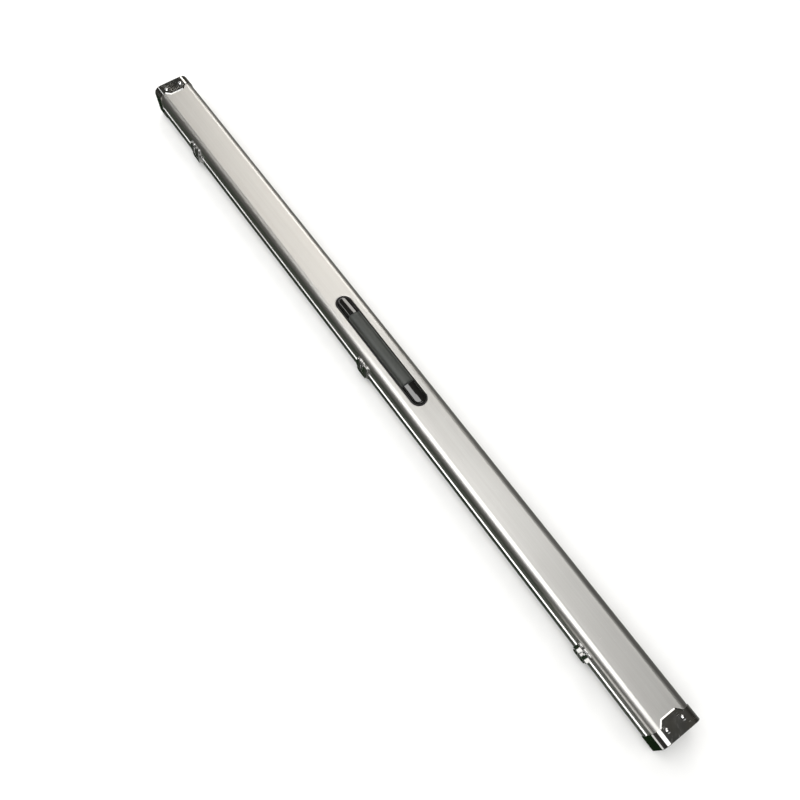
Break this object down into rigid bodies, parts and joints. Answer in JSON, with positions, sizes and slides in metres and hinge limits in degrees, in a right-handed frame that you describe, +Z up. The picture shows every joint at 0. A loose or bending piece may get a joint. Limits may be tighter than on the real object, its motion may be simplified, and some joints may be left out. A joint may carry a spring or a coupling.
{
  "type": "snooker cue case",
  "caption": "Long slim brushed-aluminium cue case with chrome end caps, draw latches, rear hinges, a recessed strap handle and foam cue channels.",
  "frame": {"origin": "centre of the underside, on the surface that the case lies on", "axes": "+X along the case, -Y the latch side, +Y the hinge side, +Z up out of the lid"},
  "size_m": [1.2, 0.0662, 0.06],
  "materials": {
    "brushed_aluminium": "brushed along the length, satin, anodised",
    "rim_aluminium": "bright extruded edge",
    "chrome": "bright pressed chrome with light handling scratches",
    "rivet_chrome": "polished domed heads",
    "rivet_steel": "nickel plated",
    "latch_chrome": "bright plated sheet",
    "hinge_nickel": "nickel plated sheet",
    "pin_steel": "drawn steel wire",
    "gloss_black": "high gloss black moulding",
    "tray_black": "fine satin black moulding",
    "grip_rubber": "matte grey-black rubber",
    "zinc_steel": "zinc plated",
    "flocked_foam": "black flocked cloth over foam"
  },
  "bodies": {
    "base": {"base_cap_rivets": "rivet_chrome", "base_end_cap_left": "chrome", "base_end_cap_right": "chrome", "base_foam_cross_wall": "flocked_foam", "base_foam_divider": "flocked_foam", "base_foam_filler": "flocked_foam", "base_foam_floor": "flocked_foam", "base_foam_pocket_wall": "flocked_foam", "base_foam_wall_front": "flocked_foam", "base_foam_wall_rear": "flocked_foam", "base_hinge_rivets": "rivet_steel", "base_latch_rivets": "rivet_steel", "base_rim_front": "rim_aluminium", "base_rim_rear": "rim_aluminium", "base_shell": "brushed_aluminium", "hinge_left_base_leaf": "hinge_nickel", "hinge_left_pin": "pin_steel", "hinge_middle_base_leaf": "hinge_nickel", "hinge_middle_pin": "pin_steel", "hinge_right_base_leaf": "hinge_nickel", "hinge_right_pin": "pin_steel", "latch_left_base_plate": "latch_chrome", "latch_left_lever_pin": "pin_steel", "latch_middle_base_plate": "latch_chrome", "latch_middle_lever_pin": "pin_steel", "latch_right_base_plate": "latch_chrome", "latch_right_lever_pin": "pin_steel"},
    "lid": {"handle_backing_plate": "zinc_steel", "handle_end_cap_left": "gloss_black", "handle_end_cap_right": "gloss_black", "handle_screws": "zinc_steel", "handle_tray": "tray_black", "hinge_left_lid_leaf": "hinge_nickel", "hinge_middle_lid_leaf": "hinge_nickel", "hinge_right_lid_leaf": "hinge_nickel", "latch_left_keeper": "latch_chrome", "latch_middle_keeper": "latch_chrome", "latch_right_keeper": "latch_chrome", "lid_cap_rivets": "rivet_chrome", "lid_end_cap_left": "chrome", "lid_end_cap_right": "chrome", "lid_foam_centre": "flocked_foam", "lid_foam_left": "flocked_foam", "lid_foam_right": "flocked_foam", "lid_hinge_rivets": "rivet_steel", "lid_latch_rivets": "rivet_steel", "lid_rim_front": "rim_aluminium", "lid_rim_rear": "rim_aluminium", "lid_shell": "brushed_aluminium"},
    "handle": {"handle_grip": "grip_rubber", "handle_strap": "zinc_steel"},
    "latch_left_lever": {"latch_left_claw_pin": "pin_steel", "latch_left_lever": "latch_chrome"},
    "latch_left_claw": {"latch_left_claw": "latch_chrome"},
    "latch_middle_lever": {"latch_middle_claw_pin": "pin_steel", "latch_middle_lever": "latch_chrome"},
    "latch_middle_claw": {"latch_middle_claw": "latch_chrome"},
    "latch_right_lever": {"latch_right_claw_pin": "pin_steel", "latch_right_lever": "latch_chrome"},
    "latch_right_claw": {"latch_right_claw": "latch_chrome"}
  },
  "joints": [
    {"name": "lid_hinge", "type": "hinge", "parent": "base", "child": "lid", "pos_m": [0, 0.03075, 0.027], "axis": [-1, 0, 0], "range_deg": [0, 165]},
    {"name": "handle_lift", "type": "slide", "parent": "lid", "child": "handle", "axis": [0, 0, 1], "range_m": [0, 0.02], "deforming": ["handle_strap"]},
    {"name": "latch_left_lever_hinge", "type": "hinge", "parent": "base", "child": "latch_left_lever", "pos_m": [-0.468, -0.0307, 0.0215], "axis": [-1, 0, 0], "range_deg": [0, 90]},
    {"name": "latch_left_claw_hinge", "type": "hinge", "parent": "latch_left_lever", "child": "latch_left_claw", "pos_m": [-0.468, -0.0304, 0.018], "axis": [-1, 0, 0], "range_deg": [-116, 0]},
    {"name": "latch_middle_lever_hinge", "type": "hinge", "parent": "base", "child": "latch_middle_lever", "pos_m": [0, -0.0307, 0.0215], "axis": [-1, 0, 0], "range_deg": [0, 90]},
    {"name": "latch_middle_claw_hinge", "type": "hinge", "parent": "latch_middle_lever", "child": "latch_middle_claw", "pos_m": [0, -0.0304, 0.018], "axis": [-1, 0, 0], "range_deg": [-116, 0]},
    {"name": "latch_right_lever_hinge", "type": "hinge", "parent": "base", "child": "latch_right_lever", "pos_m": [0.468, -0.0307, 0.0215], "axis": [-1, 0, 0], "range_deg": [0, 90]},
    {"name": "latch_right_claw_hinge", "type": "hinge", "parent": "latch_right_lever", "child": "latch_right_claw", "pos_m": [0.468, -0.0304, 0.018], "axis": [-1, 0, 0], "range_deg": [-116, 0]}
  ],
  "couplings": [
    {"joint": "latch_left_claw_hinge", "follows": "latch_left_lever_hinge", "ratio": -1.2778},
    {"joint": "latch_middle_claw_hinge", "follows": "latch_middle_lever_hinge", "ratio": -1.2778},
    {"joint": "latch_right_claw_hinge", "follows": "latch_right_lever_hinge", "ratio": -1.2778}
  ]
}
